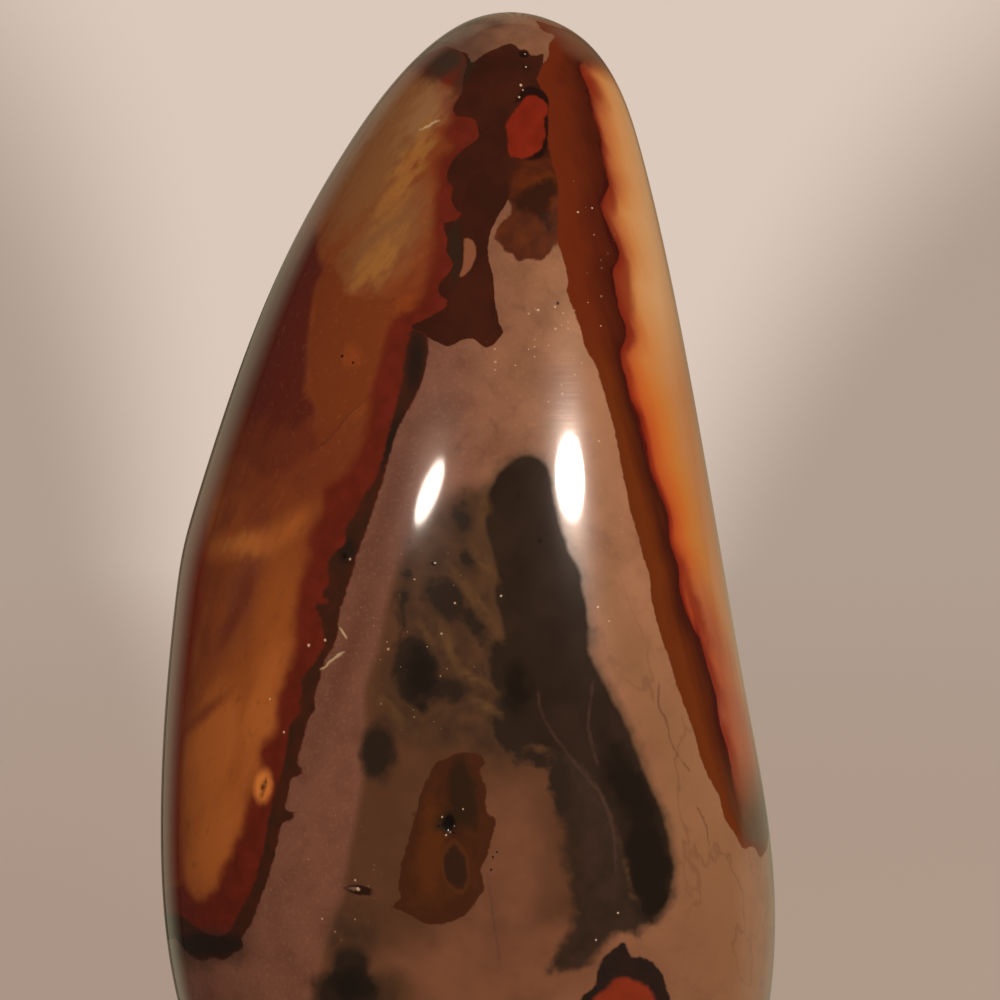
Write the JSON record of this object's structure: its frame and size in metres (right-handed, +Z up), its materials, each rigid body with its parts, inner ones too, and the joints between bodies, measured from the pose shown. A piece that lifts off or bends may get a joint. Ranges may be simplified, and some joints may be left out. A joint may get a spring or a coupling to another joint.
{
  "type": "polychrome jasper freeform",
  "caption": "Polished freeform of polychrome jasper: a tall rounded stone that leans to a blunt tip and stands on a flat cut base.",
  "frame": {"origin": "on the flat base, under the middle of the stone", "axes": "+Z up along the stone, +X to the viewer's right and -Y towards the viewer of the side that the picture shows"},
  "size_m": [0.0803, 0.0651, 0.1531],
  "materials": {
    "polished_jasper": "opaque jasper polished to a glassy gloss, mauve-pink with red, ochre, brown and olive-black markings"
  },
  "bodies": {
    "root": {"jasper_freeform": "polished_jasper"}
  },
  "joints": []
}
